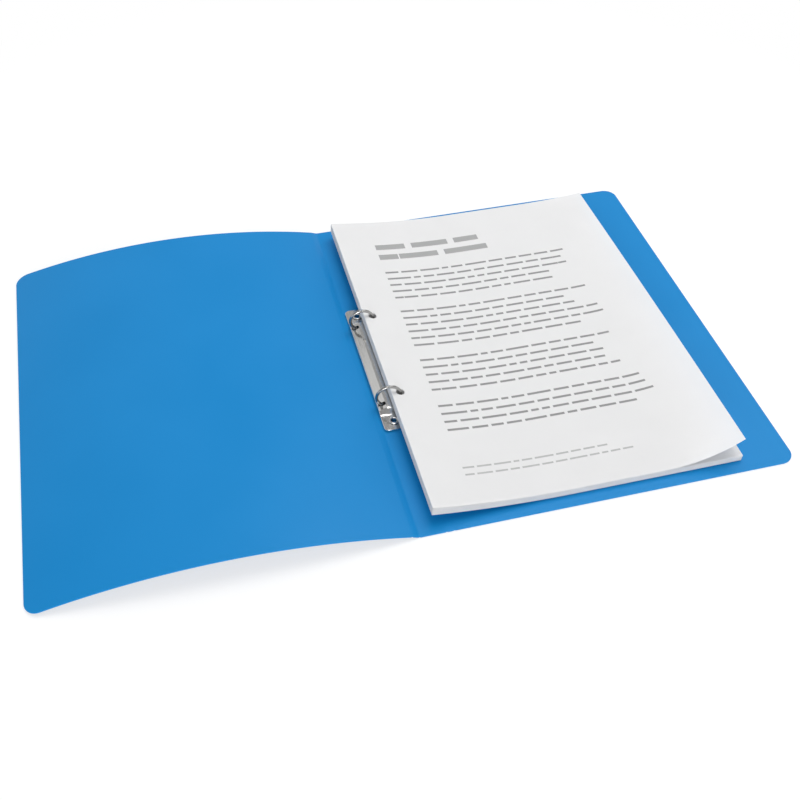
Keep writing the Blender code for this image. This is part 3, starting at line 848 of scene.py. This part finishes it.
def make_sheaves(rng):
    """The stack, sheet by sheet, each a hair out of line with the next."""
    total = SHEAVES * SHEETS_IN_SHEAF
    columns = [STACK_SETTLE * i / STACK_STEPS for i in range(STACK_STEPS + 1)]
    columns += [STACK_FLAT, SHEAF_WIDTH]
    rows = (-PAPER_HALF, PAPER_HALF)
    for index in range(SHEAVES):
        bm = bmesh.new()
        for k in range(SHEETS_IN_SHEAF):
            level = (index * SHEETS_IN_SHEAF + k) / total
            edge = PAPER_EDGE[0] + (PAPER_EDGE[1] - PAPER_EDGE[0]) * level
            shift_x = edge + rng.uniform(-STRAY_X, STRAY_X)
            shift_y = PAPER_Y + rng.uniform(-STRAY_Y, STRAY_Y)
            skew = rng.uniform(-STRAY_SKEW, STRAY_SKEW)

            def spot(along, y):
                return Vector((along + shift_x + skew * y, y + shift_y, face_height(level, along, y)))

            sheet_grid(bm, columns, rows, spot, PAPER_THICKNESS)
        node = "sheaf_%d" % (index + 1)
        sheaf = carve(bm, punch_tools())
        shape_object(node + "_sheets", sheaf, WHITE, "sheets", [node], sharp=30)


def make_top_sheet():
    """The uppermost sheet, its free edge curling up most at the bottom."""
    flat = PAGE_WIDTH - CURL_REACH
    columns = [STACK_SETTLE * i / PAGE_STEPS for i in range(PAGE_STEPS + 1)]
    columns += [STACK_SETTLE + (flat - STACK_SETTLE) * i / FLAT_STEPS for i in range(1, FLAT_STEPS)]
    columns += [flat + CURL_REACH * i / PAGE_STEPS for i in range(PAGE_STEPS + 1)]
    rows = [PAPER_HALF * (i / HALF_ROWS - 1) for i in range(2 * HALF_ROWS + 1)]

    def spot(along, y):
        bend = 2 * (CURL_BOTTOM + (CURL_TOP - CURL_BOTTOM) * page_share(y)) / CURL_REACH ** 2
        turn = bend * max(along - flat, 0.0)
        x = PAPER_EDGE[1] + min(along, flat) + math.sin(turn) / bend
        z = face_height(1.0, along, y) + SEAT + (1 - math.cos(turn)) / bend
        return Vector((x, y + PAPER_Y, z))

    bm = bmesh.new()
    sheet_grid(bm, columns, rows, spot, PAPER_THICKNESS)
    sheet = carve(bm, punch_tools())
    page = shape_object("top_page", sheet, WHITE, "sheets", ["top_sheet"], sharp=30)
    page.data.materials.append(PAGE)
    for face in page.data.polygons:
        if face.normal.z > LOOKING_UP:
            face.material_index = 1


def make_camera():
    """The photograph's viewpoint."""
    level = math.cos(CAMERA_ELEVATION)
    back = Vector((math.sin(CAMERA_AZIMUTH) * level, -math.cos(CAMERA_AZIMUTH) * level,
                   math.sin(CAMERA_ELEVATION)))
    aim = (-back).to_track_quat("-Z", "Y")
    data = bpy.data.cameras.new("camera")
    data.sensor_width = CAMERA_SENSOR
    data.lens = CAMERA_LENS
    data.clip_start, data.clip_end = CAMERA_CLIP
    camera = bpy.data.objects.new("camera", data)
    camera.rotation_mode = "QUATERNION"
    camera.location = Vector(CAMERA_TARGET) + CAMERA_DISTANCE * back
    camera.rotation_quaternion = aim @ Quaternion((0.0, 0.0, 1.0), CAMERA_ROLL)
    bpy.context.collection.objects.link(camera)
    bpy.context.scene.camera = camera


def area_light(name, place, size, power):
    """A soft square light that faces the binder."""
    data = bpy.data.lights.new(name, "AREA")
    data.size = size
    data.energy = power
    light = bpy.data.objects.new(name, data)
    light.location = place
    light.rotation_mode = "QUATERNION"
    light.rotation_quaternion = (-Vector(place)).to_track_quat("-Z", "Y")
    bpy.context.collection.objects.link(light)


def seen_rays(tree):
    """One for rays from the camera, off gloss and through glass, and nought for light on its way."""
    path = tree.nodes.new("ShaderNodeLightPath")
    total = path.outputs["Is Camera Ray"]
    for name in ("Is Glossy Ray", "Is Transmission Ray"):
        node = tree.nodes.new("ShaderNodeMath")
        node.operation = "MAXIMUM"
        tree.links.new(total, node.inputs[0])
        tree.links.new(path.outputs[name], node.inputs[1])
        total = node.outputs["Value"]
    return total


def mixed(tree, share, first, second):
    """One shader output mixed into another by a share."""
    node = tree.nodes.new("ShaderNodeMixShader")
    tree.links.new(share, node.inputs["Fac"])
    tree.links.new(first, node.inputs[1])
    tree.links.new(second, node.inputs[2])
    return node.outputs["Shader"]


def make_floor():
    """A plain white floor that keeps the binder's soft shadow."""
    bm = bmesh.new()
    corners = [(-FLOOR_REACH, -FLOOR_REACH), (FLOOR_REACH, -FLOOR_REACH),
               (FLOOR_REACH, FLOOR_REACH), (-FLOOR_REACH, FLOOR_REACH)]
    bm.faces.new([bm.verts.new((x, y, -FLOOR_DROP)) for x, y in corners])
    shape_object("floor", bm, floor_white())


def floor_white():
    """A floor seen as white with a soft shadow, as plain light further off, and matte to other light."""
    white = bpy.data.materials.new("floor_white")
    white.use_nodes = True
    tree = white.node_tree
    tree.nodes.clear()
    matte = tree.nodes.new("ShaderNodeBsdfDiffuse")
    matte.inputs["Color"].default_value = (FLOOR_GREY, FLOOR_GREY, FLOOR_GREY, 1.0)
    shadow = tree.nodes.new("ShaderNodeBsdfDiffuse")
    shadow.inputs["Color"].default_value = (SHADOW_GREY, SHADOW_GREY, SHADOW_GREY, 1.0)
    glow = tree.nodes.new("ShaderNodeEmission")
    glow.inputs["Strength"].default_value = FLOOR_GLOW
    near = tree.nodes.new("ShaderNodeAddShader")
    tree.links.new(shadow.outputs["BSDF"], near.inputs[0])
    tree.links.new(glow.outputs["Emission"], near.inputs[1])
    far = tree.nodes.new("ShaderNodeEmission")
    place = tree.nodes.new("ShaderNodeTexCoord")
    length = tree.nodes.new("ShaderNodeVectorMath")
    length.operation = "LENGTH"
    tree.links.new(place.outputs["Object"], length.inputs[0])
    spread = tree.nodes.new("ShaderNodeMapRange")
    spread.inputs["From Min"].default_value, spread.inputs["From Max"].default_value = SHADOW_FADE
    tree.links.new(length.outputs["Value"], spread.inputs["Value"])
    seen = mixed(tree, spread.outputs["Result"], near.outputs["Shader"], far.outputs["Emission"])
    out = tree.nodes.new("ShaderNodeOutputMaterial")
    tree.links.new(mixed(tree, seen_rays(tree), matte.outputs["BSDF"], seen), out.inputs["Surface"])
    return white


def make_light():
    """A pale studio: white walls under a dimmer ceiling, a soft key overhead and weak fills."""
    world = bpy.data.worlds.new("studio")
    bpy.context.scene.world = world
    world.use_nodes = True
    tree = world.node_tree
    place = tree.nodes.new("ShaderNodeTexCoord")
    split = tree.nodes.new("ShaderNodeSeparateXYZ")
    tree.links.new(place.outputs["Generated"], split.inputs["Vector"])
    ramp = tree.nodes.new("ShaderNodeValToRGB")
    elements = ramp.color_ramp.elements
    while len(elements) < len(ROOM):
        elements.new(0.5)
    for element, (height, level) in zip(elements, ROOM):
        element.position = height
        element.color = (*(tint * level for tint in ROOM_TINT), 1.0)
    tree.links.new(split.outputs["Z"], ramp.inputs["Fac"])
    tree.links.new(ramp.outputs["Color"], tree.nodes["Background"].inputs["Color"])
    for light in LIGHTS:
        area_light(*light)
    bpy.context.scene.view_settings.view_transform = "Standard"


make_cover()
make_plate()
make_rings()
make_rivets()
make_sheaves(random.Random(STACK_SEED))
make_top_sheet()
for node in ("left_blade", "right_blade"):
    blade = bpy.data.objects[node]
    blade.data.materials.clear()
    blade.data.materials.append(STEEL)
make_floor()
make_light()
make_camera()
